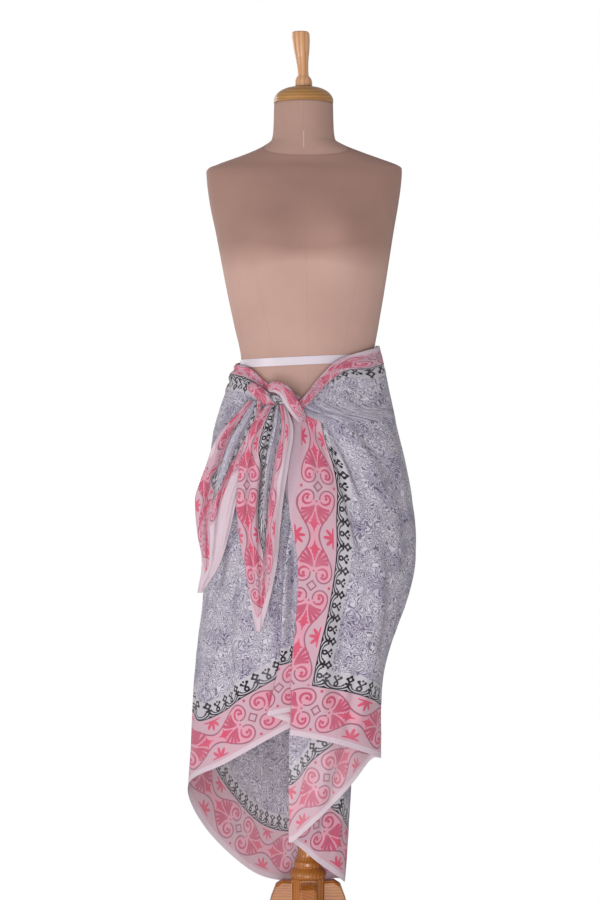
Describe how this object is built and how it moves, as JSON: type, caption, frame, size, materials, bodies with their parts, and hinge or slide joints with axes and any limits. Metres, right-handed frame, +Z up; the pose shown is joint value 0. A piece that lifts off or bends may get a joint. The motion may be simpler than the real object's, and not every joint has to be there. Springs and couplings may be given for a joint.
{
  "type": "sarong on a dress form",
  "caption": "Block-printed cotton sarong wound round a dress form and knotted in front, with loose tails and a cascading hem, on a wooden stand.",
  "frame": {"origin": "on the floor under the stand's pole, the middle of the bounding box's bottom", "axes": "+Z up along the pole, -Y the front of the garment, +X the wearer's left"},
  "size_m": [0.544, 0.544, 1.7621],
  "materials": {
    "printed_cotton": "matte, thin, block printed in rose, black and blue-violet on pale grounds",
    "form_jersey": "matte dusty rose jersey",
    "satin_ribbon": "white satin",
    "finial_wood": "light varnished, turned",
    "stand_wood": "honey brown, varnished"
  },
  "bodies": {
    "root": {"back_panel": "printed_cotton", "finial": "finial_wood", "fold_inner": "printed_cotton", "fold_outer": "printed_cotton", "hub": "stand_wood", "knob": "stand_wood", "knot_band": "printed_cotton", "knot_core": "printed_cotton", "leg_1": "stand_wood", "leg_2": "stand_wood", "leg_3": "stand_wood", "leg_4": "stand_wood", "neck_cap": "finial_wood", "over_panel": "printed_cotton", "pole": "stand_wood", "tail_left": "printed_cotton", "tail_right": "printed_cotton", "torso": "form_jersey", "under_panel": "printed_cotton", "waist_ribbon": "satin_ribbon"}
  },
  "joints": []
}
